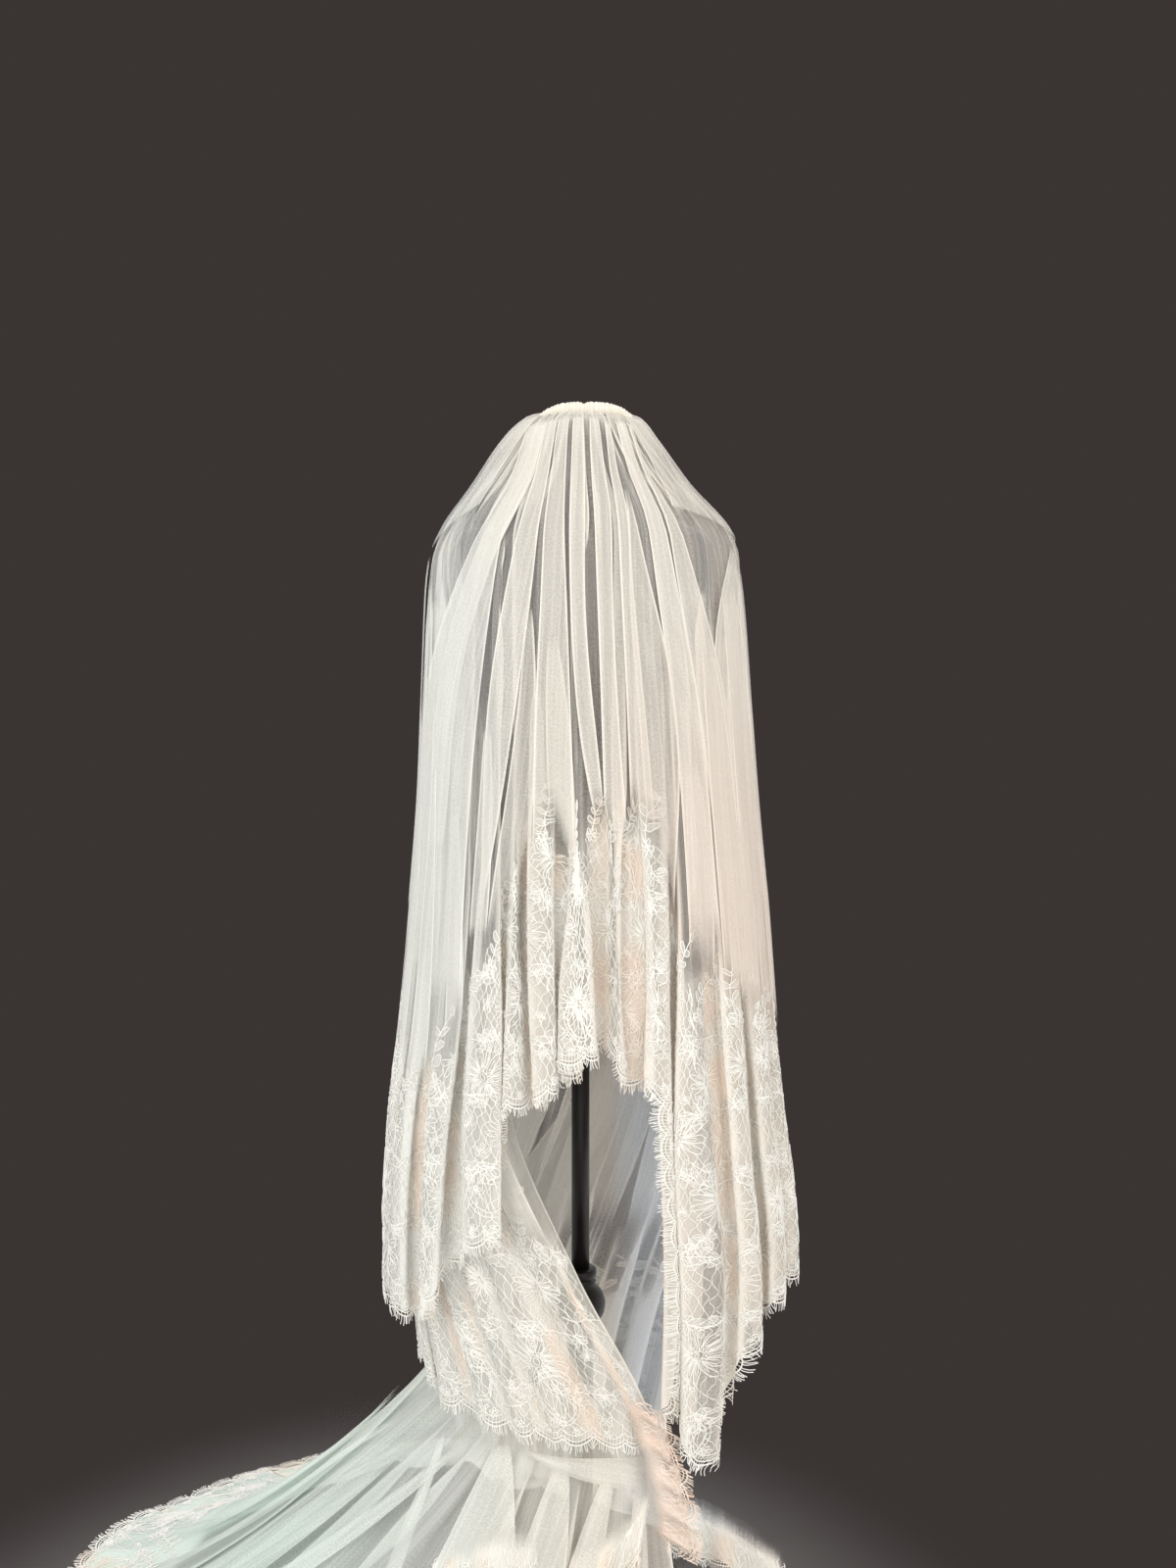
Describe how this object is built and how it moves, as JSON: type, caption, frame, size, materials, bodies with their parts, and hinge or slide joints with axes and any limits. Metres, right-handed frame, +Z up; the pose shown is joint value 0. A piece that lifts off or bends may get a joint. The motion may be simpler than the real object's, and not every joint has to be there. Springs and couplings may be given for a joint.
{
  "type": "bridal veil on a limbless dress form",
  "caption": "Two-tier tulle bridal veil gathered into a puckered heading, with scalloped lace borders, eyelash fringe and a train on the floor, draped over a limbless dress form on a pole.",
  "frame": {"origin": "centre of the underside of the form's round base, on the axis of its pole, at floor level", "axes": "+Z up along the pole; -Y is the front of the veil, where the upper tier is shortest; +X is the right of the veil seen from the front, and the train is drawn out to -X"},
  "size_m": [1.0244, 0.9273, 1.6084],
  "materials": {
    "tulle": "soft ivory net, sheer",
    "lace": "matt warm white corded lace",
    "form_jersey": "dark grey jersey, matt",
    "black_lacquer": "black, half gloss",
    "comb_plastic": "clear"
  },
  "bodies": {
    "root": {"heading": "tulle", "front_tier": "tulle", "back_tier": "tulle", "train": "tulle", "front_lace_left": "lace", "front_lace_right": "lace", "front_fringe": "lace", "back_lace": "lace", "back_fringe": "lace", "train_lace": "lace", "comb": "comb_plastic", "form_torso": "form_jersey", "form_neck_cap": "black_lacquer", "form_pole": "black_lacquer", "form_post": "black_lacquer", "form_base": "black_lacquer"}
  },
  "joints": []
}
